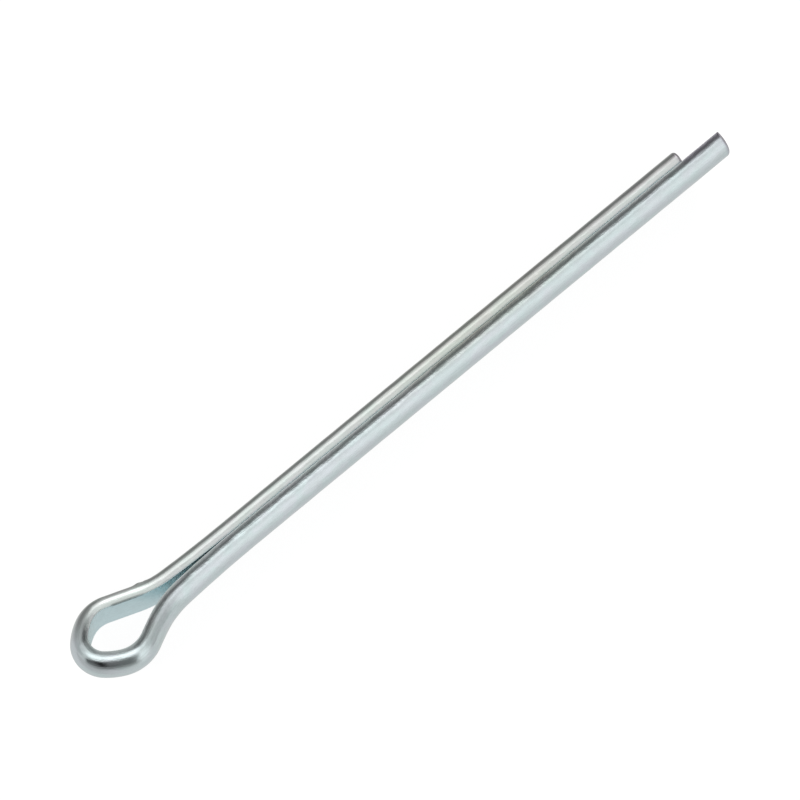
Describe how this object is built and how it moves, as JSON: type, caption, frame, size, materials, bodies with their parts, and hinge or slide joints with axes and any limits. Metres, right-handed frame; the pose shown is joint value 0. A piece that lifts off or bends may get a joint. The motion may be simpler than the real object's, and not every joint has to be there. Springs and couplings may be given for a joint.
{
  "type": "cotter pin",
  "caption": "Split pin of folded half-round wire with an open eye and legs of unequal length; it drops through a cross hole and its ends are bent apart to stay there.",
  "frame": {"origin": "on the shank's axis, where both legs first run parallel behind the neck", "axes": "+X along the shank towards the tips, +Y towards the short leg, +Z along the axis of the eye, up as it lies"},
  "size_m": [0.127, 0.0128, 0.0056],
  "materials": {
    "zinc_plate": "low carbon steel wire with clear zinc plate, fine drawn grain along the wire, softly mottled"
  },
  "bodies": {
    "root": {"cotter_pin": "zinc_plate"}
  },
  "joints": []
}
